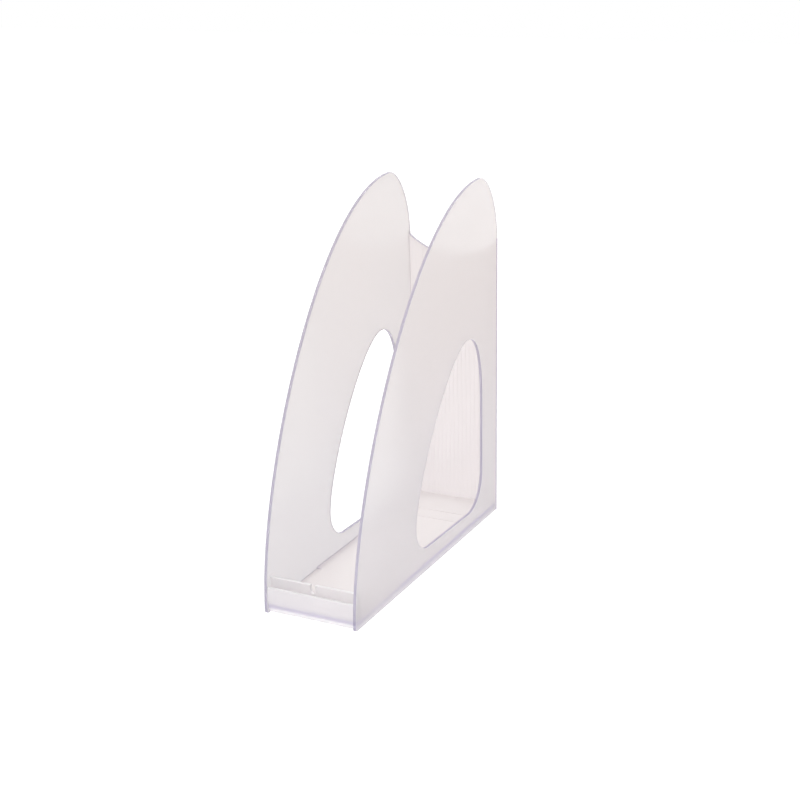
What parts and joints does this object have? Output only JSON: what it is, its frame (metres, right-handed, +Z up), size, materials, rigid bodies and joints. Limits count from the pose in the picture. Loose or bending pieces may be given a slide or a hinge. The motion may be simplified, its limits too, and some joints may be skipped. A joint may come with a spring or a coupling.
{
  "type": "magazine rack",
  "caption": "Open-fronted upright magazine rack for A4 papers, in frosted clear plastic, with tall leaf-shaped side panels, hand holes and a low label holder.",
  "frame": {"origin": "centre of the footprint, on the surface that the rack stands on", "axes": "+Z up; +Y from the open front to the back panel; +X to the right, seen from the front"},
  "size_m": [0.081, 0.25, 0.288],
  "materials": {
    "frosted_panel": "frosted, translucent",
    "clear_plate": "semi-clear, polished"
  },
  "bodies": {
    "root": {"side_panel_left": "frosted_panel", "side_panel_right": "frosted_panel", "back_panel": "frosted_panel", "base_plate": "frosted_panel", "front_wall": "clear_plate", "label_plate": "clear_plate"}
  },
  "joints": []
}
